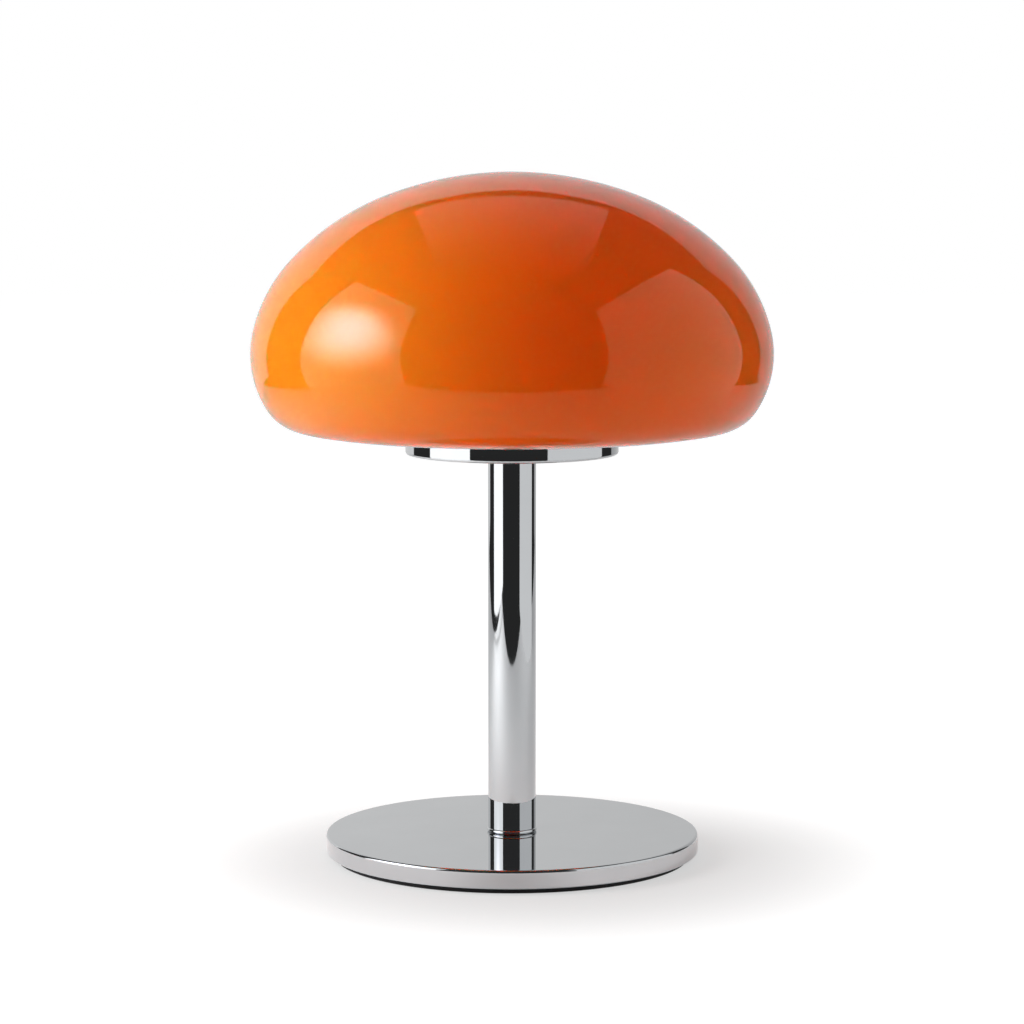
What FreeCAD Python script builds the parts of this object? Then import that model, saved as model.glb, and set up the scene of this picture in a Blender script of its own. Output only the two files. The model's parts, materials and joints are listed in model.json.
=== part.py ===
import FreeCAD, Part
import math
import os
import re

import Sketcher

# Mushroom table lamp. A round weighted base carries a thin tubular stem, the stem carries a shallow
# metal gallery, and a blown glass shade stands in the gallery on its short neck. Under the glass are
# a screw lampholder and a small globe bulb. The shade lifts straight off, and the bulb unscrews.
#
# Frame: millimetres, +Z up, +X to the right, +Y to the rear, origin on the floor under the stem.

SIZES = {
    # Base: a foam pad, a steel weight and a spun metal cover that hides both.
    "base_radius": 97.5,
    "base_height": 12.5,
    "cover_wall": 1.5,
    "cover_round": 1.5,
    "cover_bevel": 0.5,
    "pad_radius": 93.5,
    "pad_height": 3,
    "pad_edge": 0.6,
    "weight_gap": 0.4,
    "weight_edge": 0.8,
    "screw_hole": 2.75,
    "wire_offset": 7,
    "wire_hole": 3,
    "slot_start": 8,
    "slot_width": 6.4,
    "slot_depth": 6.4,
    "notch_width": 9,
    "notch_depth": 5,
    # Inlet bush in the rear wall of the base.
    "bush_level": 7.5,
    "bush_bore": 2.7,
    "bush_radius": 3.25,
    "bush_flange": 3.9,
    "bush_rim": 1,
    "bush_barb": 3.45,
    "bush_barb_length": 1.6,
    "bush_play": 0.15,
    "bush_hole": 3.3,
    # Countersunk screw that pulls the stem down on the base.
    "screw_radius": 2.45,
    "screw_length": 25,
    "screw_head": 4.6,
    "screw_head_height": 2.4,
    "sink_radius": 4.9,
    "screw_socket": 3,
    "screw_socket_depth": 1.6,
    # Stem: a tube with a plug in each end.
    "bead_radius": 13,
    "bead_height": 2.2,
    "bead_round": 1.1,
    "tube_radius": 12.5,
    "tube_bore": 11,
    "tube_length": 196.6,
    "plug_radius": 10.95,
    "plug_edge": 0.6,
    "foot_plug": 20,
    "head_plug": 15,
    "foot_thread": 2.5,
    "foot_wire_hole": 2.9,
    # Threaded nipple with its washer and nut.
    "nipple_radius": 5,
    "nipple_bore": 4,
    "nipple_grip": 12,
    "nipple_length": 26.7,
    "nipple_gap": 0.05,
    "washer_radius": 12,
    "washer_height": 1.5,
    "nut_across": 14,
    "nut_height": 4,
    # Gallery: the shallow cup that the glass stands in.
    "gallery_radius": 55.3,
    "gallery_height": 10,
    "gallery_wall": 1.5,
    "gallery_round": 1.5,
    "gallery_hole": 5.25,
    "gasket_bore": 47.6,
    "gasket_height": 1.2,
    "gasket_lip": 3.5,
    "gasket_lip_wall": 1.2,
    "gasket_gap": 0.2,
    "clip_count": 3,
    "clip_foot": 38,
    "clip_root": 46.6,
    "clip_reach": 48.2,
    "clip_tip": 46.9,
    "clip_bulge": 6.5,
    "clip_height": 12.2,
    "clip_wall": 0.5,
    "clip_width": 8,
    # Glass: one wall, six tangent arcs from the crown to the underside, and a neck.
    "lamp_height": 356.9,
    "glass_wall": 3,
    "crown_radius": 180.4,
    "crown_turn": 20.65,
    "upper_radius": 134.6,
    "upper_turn": 25.7,
    "shoulder_radius": 80.8,
    "shoulder_turn": 29.9,
    "cheek_radius": 52.5,
    "cheek_turn": 46.95,
    "lip_radius": 23,
    "lip_turn": 46.6,
    "under_radius": 210.5,
    "neck_radius": 51.8,
    "neck_fillet": 3,
    "rim_round": 0.8,
    # Lampholder: a cap on the nipple, a shell, a contact block and a screw shell.
    "holder_radius": 19.5,
    "holder_wall": 2.3,
    "holder_base": 9,
    "holder_dome": 10.7,
    "holder_dome_radius": 10.75,
    "cap_height": 21.7,
    "cap_floor": 3.5,
    "boss_radius": 7.6,
    "boss_height": 7.7,
    "flute_count": 24,
    "flute_radius": 1.1,
    "flute_depth": 0.5,
    "flute_length": 9,
    "shell_height": 26.3,
    "shell_bore": 14.3,
    "shell_edge": 1.2,
    "block_radius": 16.5,
    "block_gap": 0.1,
    "block_height": 8,
    "screw_shell_bore": 13.4,
    "screw_shell_wall": 0.3,
    "screw_shell_height": 16,
    "screw_shell_lip": 0.5,
    "contact_rise": 2,
    "contact_wall": 0.5,
    "contact_width": 6,
    "contact_foot": 12,
    "contact_bend": 7,
    "contact_pad": 3.5,
    "terminal_offset": 8.5,
    "terminal_width": 6,
    "terminal_depth": 7,
    "terminal_height": 8,
    "terminal_bore": 1.15,
    "terminal_screw": 1.45,
    "terminal_screw_hole": 1.5,
    "terminal_screw_head": 2.6,
    "terminal_head_height": 1.6,
    "terminal_screw_length": 2.2,
    "terminal_screw_level": 5,
    # Globe bulb on a screw cap.
    "tip_radius": 4.6,
    "tip_height": 1.6,
    "insulator_height": 3.8,
    "insulator_radius": 10.6,
    "cap_radius": 13.1,
    "cap_metal": 0.4,
    "cap_shoulder": 2.1,
    "cap_thread_top": 16.6,
    "cap_collar": 12.6,
    "cap_length": 20.6,
    "globe_radius": 22.5,
    "globe_wall": 0.8,
    "bulb_length": 75,
    "bulb_neck": 12,
    "bulb_neck_fillet": 10,
    "bulb_neck_level": 16,
    "mount_foot": 11,
    "mount_foot_height": 1.2,
    "mount_flare": 10,
    "mount_post": 2.4,
    "mount_height": 45.5,
    "filament_count": 4,
    "filament_radius": 0.8,
    "filament_offset": 8,
    "filament_level": 31,
    "filament_length": 30,
    "filament_wire": 0.35,
    "board_width": 14,
    "board_height": 9,
    "board_wall": 1.2,
    "board_level": 6.6,
    # Leads inside the lamp.
    "lead_radius": 1,
    "lead_offset": 1.45,
    "lead_end": 50,
    "lead_bend": 2.8,
    "lead_slack": 30,
    "splice_radius": 1.35,
    "splice_length": 14,
}

# Heights above the floor, as expressions in the driving dimensions.
COVER_UNDER = "(base_height - cover_wall)"
BEAD_TOP = "(base_height + bead_height)"
TUBE_TOP = f"({BEAD_TOP} + tube_length)"
GALLERY_FLOOR = f"({TUBE_TOP} + gallery_wall)"
GALLERY_RIM = f"({TUBE_TOP} + gallery_height)"
GLASS_RIM = f"({GALLERY_FLOOR} + gasket_height)"
NUT_UNDER = f"({GALLERY_FLOOR} + washer_height)"
HOLDER_UNDER = f"({NUT_UNDER} + nut_height)"
NIPPLE_UNDER = f"({TUBE_TOP} - nipple_grip)"
HOLDER_SPLIT = f"({HOLDER_UNDER} + cap_height)"
BLOCK_TOP = f"({HOLDER_SPLIT} + block_height)"
HOLDER_TOP = f"({HOLDER_SPLIT} + shell_height)"
BULB_SEAT = f"({BLOCK_TOP} + contact_rise)"
INSULATOR_UNDER = f"({BULB_SEAT} + tip_height)"
BULB_CAP_UNDER = f"({INSULATOR_UNDER} + insulator_height)"
BULB_NECK_UNDER = f"({BULB_SEAT} + bulb_neck_level)"
GLOBE_CENTRE = f"({BULB_SEAT} + bulb_length - globe_radius)"

# Which side of the way along an outline the centre of an arc lies on.
LEFT = 1
RIGHT = -1

document = FreeCAD.newDocument("MushroomLamp")
sheet = document.addObject("Spreadsheet::Sheet", "Dims")
for row, (alias, number) in enumerate(SIZES.items(), start=1):
    sheet.set(f"A{row}", str(number))
    sheet.setAlias(f"A{row}", alias)
document.recompute()

sub_parts = []


def size(expression):
    """Value of an expression in the driving dimensions."""
    return float(sheet.evalExpression(expression))


def bind(item, path, expression):
    """Tie a property to the sheet. Every alias holds an underscore, and nothing else does."""
    item.setExpression(path, re.sub(r"[a-z]+(?:_[a-z]+)+", r"Dims.\g<0>", expression))


def origin_item(body, role):
    return next(item for item in body.Origin.OriginFeatures if item.Role == role)


def new_body(name):
    body = document.addObject("PartDesign::Body", name)
    body.Label = name
    body.Placement = FreeCAD.Placement()
    sub_parts.append(body)
    return body


def new_sketch(body, name, plane="XZ_Plane", offset="0"):
    """A sketch on one of the body's own origin planes, raised by an offset along its normal."""
    sketch = body.newObject("Sketcher::SketchObject", name)
    sketch.AttachmentSupport = [(origin_item(body, plane), "")]
    sketch.MapMode = "FlatFace"
    if offset != "0":
        bind(sketch, "AttachmentOffset.Base.z", offset)
    return sketch


def fix(sketch, kind, where, expression, scale=1.0):
    """Add a constraint with a value and tie it to the sheet."""
    index = sketch.addConstraint(Sketcher.Constraint(kind, *where, size(expression) * scale))
    bind(sketch, f"Constraints[{index}]", expression)


def pin(sketch, edge, end, across, up):
    """Hold one end of an edge at a place given by two expressions."""
    for kind, axis, expression in (("DistanceX", -2, across), ("DistanceY", -1, up)):
        if expression == "0":
            sketch.addConstraint(Sketcher.Constraint("PointOnObject", edge, end, axis))
        else:
            fix(sketch, kind, (-1, 1, edge, end), expression)


def point(across, up):
    return FreeCAD.Vector(size(across), size(up), 0)


def arc_between(start, end, radius, side):
    """The shorter arc between two points, with its centre to the left or the right."""
    chord = end - start
    left = FreeCAD.Vector(-chord.y, chord.x, 0).normalize()
    rise = math.sqrt(max(radius**2 - (chord.Length / 2) ** 2, 0))
    centre = (start + end) * 0.5 + left * (rise * side)
    if side == RIGHT:
        start, end = end, start
    angles = [math.atan2(tip.y - centre.y, tip.x - centre.x) for tip in (start, end)]
    circle = Part.Circle(centre, FreeCAD.Vector(0, 0, 1), radius)
    return Part.ArcOfCircle(circle, *angles)


def draw_outline(sketch, corners):
    """Closed outline through corners (across, up). A corner with a radius and a side as well
    bends the edge that follows it."""
    edges = []
    for corner, following in zip(corners, corners[1:] + corners[:1]):
        start = point(*corner[:2])
        end = point(*following[:2])
        if len(corner) == 2:
            edges.append((sketch.addGeometry(Part.LineSegment(start, end), False), 1, 2))
            continue
        radius, side = corner[2:]
        edge = sketch.addGeometry(arc_between(start, end, size(radius), side), False)
        edges.append((edge, 1, 2) if side == LEFT else (edge, 2, 1))
    for number, (corner, (edge, start, end)) in enumerate(zip(corners, edges)):
        following = edges[(number + 1) % len(edges)]
        sketch.addConstraint(Sketcher.Constraint("Coincident", edge, end, *following[:2]))
        pin(sketch, edge, start, *corner[:2])
        if len(corner) > 2:
            fix(sketch, "Radius", (edge,), corner[2])


def outline(body, name, corners, plane="XZ_Plane", offset="0"):
    sketch = new_sketch(body, name, plane, offset)
    draw_outline(sketch, corners)
    return sketch


def circles(body, name, places, plane="XY_Plane", offset="0"):
    """A sketch of full circles, each given as (across, up, radius)."""
    sketch = new_sketch(body, name, plane, offset)
    for across, up, radius in places:
        circle = Part.Circle(point(across, up), FreeCAD.Vector(0, 0, 1), size(radius))
        edge = sketch.addGeometry(circle, False)
        pin(sketch, edge, 3, across, up)
        fix(sketch, "Radius", (edge,), radius)
    return sketch


def turn(body, sketch, kind="PartDesign::Revolution"):
    """Revolve an outline round the vertical axis, to add material or, as a Groove, to cut it."""
    turned = body.newObject(kind, sketch.Name + "Turned")
    turned.Profile = sketch
    turned.ReferenceAxis = (origin_item(body, "Z_Axis"), [""])
    turned.Angle = 360
    return turned


def turned_body(name, corners):
    body = new_body(name)
    turn(body, outline(body, name + "_profile", corners))
    return body


def pad(body, sketch, length, reverse=False, middle=False):
    feature = body.newObject("PartDesign::Pad", sketch.Name + "Pad")
    feature.Profile = sketch
    feature.Reversed = reverse
    feature.SideType = "Symmetric" if middle else "One side"
    bind(feature, "Length", length)
    return feature


def pocket(body, sketch, length, reverse=False):
    feature = body.newObject("PartDesign::Pocket", sketch.Name + "Pocket")
    feature.Profile = sketch
    feature.Reversed = reverse
    bind(feature, "Length", length)
    return feature


def repeat_round(body, feature, count):
    """Repeat a feature round the vertical axis."""
    pattern = body.newObject("PartDesign::PolarPattern", feature.Name + "Round")
    pattern.Originals = [feature]
    pattern.Axis = (origin_item(body, "Z_Axis"), [""])
    pattern.Angle = 360
    bind(pattern, "Occurrences", count)
    body.Tip = pattern
    return pattern


def round_level_edges(body, feature, level, radius):
    """Fillet every circular edge of a feature that lies at one height."""
    document.recompute()
    height = size(level)
    names = []
    for number, edge in enumerate(feature.Shape.Edges, start=1):
        box = edge.BoundBox
        if abs(box.ZMin - height) < 1e-4 and abs(box.ZMax - height) < 1e-4:
            names.append(f"Edge{number}")
    fillet = body.newObject("PartDesign::Fillet", feature.Name + "Fillet")
    fillet.Base = (feature, names)
    bind(fillet, "Radius", radius)
    return fillet


def hexagon(across_flats):
    """Corners of a hexagon about the origin, given the distance between its flats."""
    corners = []
    for step in range(6):
        angle = 30 + 60 * step
        across = "0" if angle in (90, 270) else f"{across_flats} / sqrt(3) * cos({angle})"
        corners.append((across, f"{across_flats} / sqrt(3) * sin({angle})"))
    return corners


def ring(inner, outer, under, top):
    """Profile of a plain ring."""
    return [(inner, under), (outer, under), (outer, top), (inner, top)]


# Base ------------------------------------------------------------------------------------------


def make_foot_pad():
    turned_body(
        "foot_pad",
        [
            ("0", "0"),
            ("pad_radius - pad_edge", "0"),
            ("pad_radius", "pad_edge"),
            ("pad_radius", "pad_height"),
            ("0", "pad_height"),
        ],
    )


def make_base_weight():
    """Steel disc, with a countersunk hole, a lead slot in its top and a notch for the bush."""
    rim = "(base_radius - cover_wall - weight_gap)"
    body = turned_body(
        "base_weight",
        [
            ("0", "pad_height"),
            (f"{rim} - weight_edge", "pad_height"),
            (rim, "pad_height + weight_edge"),
            (rim, f"{COVER_UNDER} - weight_edge"),
            (f"{rim} - weight_edge", COVER_UNDER),
            ("0", COVER_UNDER),
        ],
    )
    sink_top = "(pad_height + sink_radius - screw_hole)"
    countersink = [
        ("0", "pad_height"),
        ("sink_radius", "pad_height"),
        ("screw_hole", sink_top),
        ("screw_hole", COVER_UNDER),
        ("0", COVER_UNDER),
    ]
    turn(body, outline(body, "screw_seat", countersink), "PartDesign::Groove")
    well = circles(body, "lead_well", [("0", "slot_start", "slot_width / 2")], offset=COVER_UNDER)
    pocket(body, well, "slot_depth")
    slot = outline(
        body,
        "lead_slot",
        [
            ("-slot_width / 2", "slot_start"),
            ("slot_width / 2", "slot_start"),
            ("slot_width / 2", "base_radius"),
            ("-slot_width / 2", "base_radius"),
        ],
        "XY_Plane",
        COVER_UNDER,
    )
    pocket(body, slot, "slot_depth")
    notch = outline(
        body,
        "bush_notch",
        [
            ("-notch_width / 2", f"{rim} - notch_depth"),
            ("notch_width / 2", f"{rim} - notch_depth"),
            ("notch_width / 2", "base_radius"),
            ("-notch_width / 2", "base_radius"),
        ],
        "XY_Plane",
        COVER_UNDER,
    )
    pocket(body, notch, "base_height")


def make_base_cover():
    """Spun cover with a soft top edge, a bevelled foot and holes for screw, leads and bush."""
    inside = "(base_radius - cover_wall)"
    body = turned_body(
        "base_cover",
        [
            ("screw_hole", COVER_UNDER),
            (inside, COVER_UNDER),
            (inside, "pad_height"),
            ("base_radius - cover_bevel", "pad_height"),
            ("base_radius", "pad_height + cover_bevel"),
            ("base_radius", "base_height - cover_round", "cover_round", LEFT),
            ("base_radius - cover_round", "base_height"),
            ("screw_hole", "base_height"),
        ],
    )
    leads = circles(body, "lead_hole", [("0", "wire_offset", "wire_hole")], offset="base_height")
    pocket(body, leads, "base_height")
    inlet = circles(body, "bush_hole", [("0", "bush_level", "bush_hole")], "XZ_Plane")
    pocket(body, inlet, "base_radius + base_height")


def make_cord_bush():
    """Snap-in bush: a flange outside the wall, a sleeve through it and a barb behind it."""
    body = new_body("cord_bush")
    barb_end = "(base_radius - cover_wall - bush_play)"
    steps = (
        ("flange", "bush_flange", "base_radius", "bush_rim"),
        ("sleeve", "bush_radius", barb_end, "cover_wall + bush_play"),
        ("barb", "bush_barb", f"({barb_end} - bush_barb_length)", "bush_barb_length"),
    )
    for name, radius, start, length in steps:
        disc = circles(body, name, [("0", "bush_level", radius)], "XZ_Plane", f"-({start})")
        pad(body, disc, length, reverse=True)
    bore = circles(body, "bore", [("0", "bush_level", "bush_bore")], "XZ_Plane")
    pocket(body, bore, "base_radius + base_height")


def make_base_screw():
    """Countersunk screw with a hexagon socket."""
    body = turned_body(
        "base_screw",
        [
            ("0", "pad_height"),
            ("screw_head", "pad_height"),
            ("screw_radius", "pad_height + screw_head - screw_radius"),
            ("screw_radius", "pad_height + screw_length - pad_edge"),
            ("screw_radius - pad_edge", "pad_height + screw_length"),
            ("0", "pad_height + screw_length"),
        ],
    )
    socket = outline(body, "socket", hexagon("screw_socket"), "XY_Plane", "pad_height")
    pocket(body, socket, "screw_socket_depth", reverse=True)


# Stem ------------------------------------------------------------------------------------------


def make_stem_foot():
    """Beaded collar that stands on the cover, with a plug that the tube is pressed over."""
    plug_top = f"({BEAD_TOP} + foot_plug)"
    body = turned_body(
        "stem_foot",
        [
            ("foot_thread", "base_height"),
            ("bead_radius - bead_round", "base_height", "bead_round", LEFT),
            ("bead_radius", "base_height + bead_round", "bead_round", LEFT),
            ("bead_radius - bead_round", BEAD_TOP),
            ("plug_radius", BEAD_TOP),
            ("plug_radius", f"{plug_top} - plug_edge"),
            ("plug_radius - plug_edge", plug_top),
            ("foot_thread", plug_top),
        ],
    )
    leads = circles(body, "lead_hole", [("0", "wire_offset", "foot_wire_hole")], offset=plug_top)
    pocket(body, leads, "foot_plug + bead_height")


def make_stem_tube():
    turned_body("stem_tube", ring("tube_bore", "tube_radius", BEAD_TOP, TUBE_TOP))


def make_stem_head():
    """Tapped plug in the top of the tube."""
    under = f"({TUBE_TOP} - head_plug)"
    bore = "nipple_radius + nipple_gap"
    turned_body(
        "stem_head",
        [
            (bore, under),
            ("plug_radius - plug_edge", under),
            ("plug_radius", f"{under} + plug_edge"),
            ("plug_radius", TUBE_TOP),
            (bore, TUBE_TOP),
        ],
    )


def make_nipple():
    turned_body(
        "nipple",
        ring("nipple_bore", "nipple_radius", NIPPLE_UNDER, f"{NIPPLE_UNDER} + nipple_length"),
    )


# Gallery ---------------------------------------------------------------------------------------


def make_gallery():
    turned_body(
        "gallery",
        [
            ("gallery_hole", TUBE_TOP),
            ("gallery_radius - gallery_round", TUBE_TOP, "gallery_round", LEFT),
            ("gallery_radius", f"{TUBE_TOP} + gallery_round"),
            ("gallery_radius", GALLERY_RIM),
            ("gallery_radius - gallery_wall", GALLERY_RIM),
            ("gallery_radius - gallery_wall", GALLERY_FLOOR),
            ("gallery_hole", GALLERY_FLOOR),
        ],
    )


def make_gallery_washer():
    turned_body("gallery_washer", ring("gallery_hole", "washer_radius", GALLERY_FLOOR, NUT_UNDER))


def make_gallery_nut():
    body = new_body("gallery_nut")
    blank = outline(body, "nut_blank", hexagon("nut_across"), "XY_Plane", NUT_UNDER)
    pad(body, blank, "nut_height")
    bore = circles(body, "nut_bore", [("0", "0", "nipple_radius + nipple_gap")], offset=HOLDER_UNDER)
    pocket(body, bore, "nut_height")


def make_shade_gasket():
    """Silicone ring under the rim of the glass, with a lip between glass and gallery."""
    outside = "(gallery_radius - gallery_wall - gasket_gap)"
    lip_top = f"({GLASS_RIM} + gasket_lip)"
    turned_body(
        "shade_gasket",
        [
            ("gasket_bore", GALLERY_FLOOR),
            (outside, GALLERY_FLOOR),
            (outside, lip_top),
            (f"{outside} - gasket_lip_wall", lip_top),
            (f"{outside} - gasket_lip_wall", GLASS_RIM),
            ("gasket_bore", GLASS_RIM),
        ],
    )


def make_shade_clips():
    """Leaf springs, spot-welded to the gallery floor, that centre the neck of the glass."""
    body = new_body("shade_clips")
    strip = outline(
        body,
        "leaf",
        [
            ("clip_foot", GALLERY_FLOOR),
            ("clip_root", GALLERY_FLOOR),
            ("clip_reach", f"{GALLERY_FLOOR} + clip_bulge"),
            ("clip_tip", f"{GALLERY_FLOOR} + clip_height"),
            ("clip_tip - clip_wall", f"{GALLERY_FLOOR} + clip_height"),
            ("clip_reach - clip_wall", f"{GALLERY_FLOOR} + clip_bulge"),
            ("clip_root - clip_wall", f"{GALLERY_FLOOR} + clip_wall"),
            ("clip_foot", f"{GALLERY_FLOOR} + clip_wall"),
        ],
    )
    repeat_round(body, pad(body, strip, "clip_width", middle=True), "clip_count")


# Glass shade -----------------------------------------------------------------------------------


def draw_glass_side(sketch, inset):
    """One side of the glass, from the crown down to the rim of the neck: arcs that run into each
    other without a kink, drawn inwards of the outer surface by an inset. Returns its first and
    last edges, each as (edge, start end, far end)."""
    arcs = [
        ("crown_radius", "crown_turn"),
        ("upper_radius", "upper_turn"),
        ("shoulder_radius", "shoulder_turn"),
        ("cheek_radius", "cheek_turn"),
        ("lip_radius", "lip_turn"),
    ]
    spot = FreeCAD.Vector(0, size(f"lamp_height - {inset}"), 0)
    heading = 0.0
    edges = []

    def add_arc(radius, degrees, bend):
        """Carry the line on by an arc that bends to the right or, for the fillet, to the left."""
        nonlocal spot, heading
        start = math.radians(heading)
        end = math.radians(heading - degrees * bend)
        to_centre = FreeCAD.Vector(math.sin(start), -math.cos(start), 0) * bend
        centre = spot + to_centre * radius
        spot = centre - FreeCAD.Vector(math.sin(end), -math.cos(end), 0) * (bend * radius)
        start_angle, end_angle = (angle + math.pi / 2 * bend for angle in (start, end))
        circle = Part.Circle(centre, FreeCAD.Vector(0, 0, 1), radius)
        if bend > 0:
            edge = sketch.addGeometry(Part.ArcOfCircle(circle, end_angle, start_angle), False)
            edges.append((edge, 2, 1))
        else:
            edge = sketch.addGeometry(Part.ArcOfCircle(circle, start_angle, end_angle), False)
            edges.append((edge, 1, 2))
        heading -= degrees * bend
        return edge, centre

    for radius, degrees in arcs:
        edge, centre = add_arc(size(f"{radius} - {inset}"), size(degrees), 1)
        fix(sketch, "Radius", (edge,), f"{radius} - {inset}")
        fix(sketch, "Angle", (edge,), degrees, math.pi / 180)
    under = size(f"under_radius - {inset}")
    fillet = size(f"neck_fillet + {inset}")
    neck = size(f"neck_radius - {inset}")
    lowest = spot.x + under * math.sin(math.radians(heading))
    climb = math.degrees(math.asin((lowest - neck - fillet) / (under + fillet)))
    edge, centre = add_arc(under, 180 + heading + climb, 1)
    fix(sketch, "Radius", (edge,), f"under_radius - {inset}")
    edge, centre = add_arc(fillet, 90 + climb, -1)
    fix(sketch, "Radius", (edge,), f"neck_fillet + {inset}")
    rim = FreeCAD.Vector(neck, size(GLASS_RIM), 0)
    edges.append((sketch.addGeometry(Part.LineSegment(spot, rim), False), 1, 2))
    for (edge, start, end), following in zip(edges, edges[1:]):
        sketch.addConstraint(Sketcher.Constraint("Tangent", edge, end, *following[:2]))
    crown = edges[0]
    pin(sketch, crown[0], crown[1], "0", f"lamp_height - {inset}")
    sketch.addConstraint(Sketcher.Constraint("PointOnObject", crown[0], 3, -2))
    wall = edges[-1]
    sketch.addConstraint(Sketcher.Constraint("Vertical", wall[0]))
    pin(sketch, wall[0], wall[2], f"neck_radius - {inset}", GLASS_RIM)
    return crown, wall


def make_glass_shade():
    body = new_body("glass_shade")
    sketch = new_sketch(body, "glass_profile")
    outer_crown, outer_wall = draw_glass_side(sketch, "0")
    inner_crown, inner_wall = draw_glass_side(sketch, "glass_wall")
    rims = (outer_wall[0], outer_wall[2]), (inner_wall[0], inner_wall[2])
    rim_places = point("neck_radius", GLASS_RIM), point("neck_radius - glass_wall", GLASS_RIM)
    crowns = outer_crown[:2], inner_crown[:2]
    crown_places = point("0", "lamp_height"), point("0", "lamp_height - glass_wall")
    for ends, places in ((rims, rim_places), (crowns, crown_places)):
        bridge = sketch.addGeometry(Part.LineSegment(*places), False)
        for bridge_end, (edge, end) in enumerate(ends, start=1):
            sketch.addConstraint(Sketcher.Constraint("Coincident", edge, end, bridge, bridge_end))
    round_level_edges(body, turn(body, sketch), GLASS_RIM, "rim_round")


# Lampholder ------------------------------------------------------------------------------------


def make_holder_cap():
    """Fluted thermoset cap that screws down on the nipple."""
    bore = "nipple_radius + nipple_gap"
    inside = "(holder_radius - holder_wall)"
    dome_top = f"({HOLDER_UNDER} + holder_dome)"
    cap_floor = f"({HOLDER_UNDER} + cap_floor)"
    boss_top = f"{HOLDER_UNDER} + boss_height"
    body = turned_body(
        "holder_cap",
        [
            (bore, HOLDER_UNDER),
            ("holder_base", HOLDER_UNDER, "holder_dome_radius", LEFT),
            ("holder_radius", dome_top),
            ("holder_radius", HOLDER_SPLIT),
            (inside, HOLDER_SPLIT),
            (inside, f"{dome_top} + holder_wall / 2", "holder_dome_radius - holder_wall", RIGHT),
            ("holder_base", cap_floor),
            ("boss_radius", cap_floor),
            ("boss_radius", boss_top),
            (bore, boss_top),
        ],
    )
    axis = "holder_radius + flute_radius - flute_depth"
    flute = circles(body, "flute", [(axis, "0", "flute_radius")], offset=HOLDER_SPLIT)
    repeat_round(body, pocket(body, flute, "flute_length"), "flute_count")


def make_holder_shell():
    """Plain upper half of the holder, stepped inside for the contact block."""
    block_bore = "block_radius + block_gap"
    turned_body(
        "holder_shell",
        [
            (block_bore, HOLDER_SPLIT),
            ("holder_radius", HOLDER_SPLIT),
            ("holder_radius", f"{HOLDER_TOP} - shell_edge"),
            ("holder_radius - shell_edge", HOLDER_TOP),
            ("shell_bore", HOLDER_TOP),
            ("shell_bore", BLOCK_TOP),
            (block_bore, BLOCK_TOP),
        ],
    )


def make_contact_block():
    turned_body(
        "contact_block",
        [
            ("0", HOLDER_SPLIT),
            ("block_radius", HOLDER_SPLIT),
            ("block_radius", BLOCK_TOP),
            ("0", BLOCK_TOP),
        ],
    )


def make_screw_shell():
    """Brass shell that the bulb screws into, with a lip turned out at its mouth."""
    outside = "(screw_shell_bore + screw_shell_wall)"
    top = f"({BLOCK_TOP} + screw_shell_height)"
    turned_body(
        "screw_shell",
        [
            ("screw_shell_bore", BLOCK_TOP),
            (outside, BLOCK_TOP),
            (outside, f"{top} - screw_shell_lip - screw_shell_wall"),
            (f"{outside} + screw_shell_lip", f"{top} - screw_shell_wall"),
            (f"{outside} + screw_shell_lip", top),
            (f"{outside} + screw_shell_lip - screw_shell_wall", top),
            ("screw_shell_bore", f"{top} - screw_shell_lip"),
        ],
    )


def make_centre_contact():
    """Sprung strip whose raised end meets the tip of the bulb."""
    body = new_body("centre_contact")
    strip = outline(
        body,
        "strip",
        [
            ("-contact_foot", BLOCK_TOP),
            ("-contact_bend", BLOCK_TOP),
            ("-contact_pad", f"{BULB_SEAT} - contact_wall"),
            ("contact_pad", f"{BULB_SEAT} - contact_wall"),
            ("contact_pad", BULB_SEAT),
            ("-contact_pad", BULB_SEAT),
            ("-contact_bend", f"{BLOCK_TOP} + contact_wall"),
            ("-contact_foot", f"{BLOCK_TOP} + contact_wall"),
        ],
    )
    pad(body, strip, "contact_width", middle=True)


def make_terminal_blocks():
    """Two brass blocks under the contact block, bored for a lead and tapped for a screw."""
    body = new_body("terminal_blocks")
    under = f"({HOLDER_SPLIT} - terminal_height)"
    near = "terminal_offset - terminal_width / 2"
    far = "terminal_offset + terminal_width / 2"
    blank = outline(
        body,
        "terminal_blank",
        [
            (near, "-terminal_depth / 2"),
            (far, "-terminal_depth / 2"),
            (far, "terminal_depth / 2"),
            (near, "terminal_depth / 2"),
        ],
        "XY_Plane",
        under,
    )
    block = pad(body, blank, "terminal_height")
    lead_bore = circles(body, "lead_bore", [("terminal_offset", "0", "terminal_bore")], offset=under)
    bore = pocket(body, lead_bore, "terminal_height - terminal_bore", reverse=True)
    screw_level = f"{under} + terminal_screw_level"
    tapped = circles(
        body, "tapped_hole", [("terminal_offset", screw_level, "terminal_screw_hole")], "XZ_Plane",
        "terminal_depth / 2",
    )
    hole = pocket(body, tapped, "terminal_depth / 2 - lead_radius")
    pattern = repeat_round(body, block, "2")
    pattern.Originals = [block, bore, hole]


def make_terminal_screws():
    body = new_body("terminal_screws")
    level = f"{HOLDER_SPLIT} - terminal_height + terminal_screw_level"
    head = circles(
        body, "head", [("terminal_offset", level, "terminal_screw_head")], "XZ_Plane",
        "terminal_depth / 2",
    )
    shank = circles(
        body, "shank", [("terminal_offset", level, "terminal_screw")], "XZ_Plane",
        "terminal_depth / 2",
    )
    head_pad = pad(body, head, "terminal_head_height")
    shank_pad = pad(body, shank, "terminal_screw_length", reverse=True)
    pattern = repeat_round(body, head_pad, "2")
    pattern.Originals = [head_pad, shank_pad]


# Bulb ------------------------------------------------------------------------------------------


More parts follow.
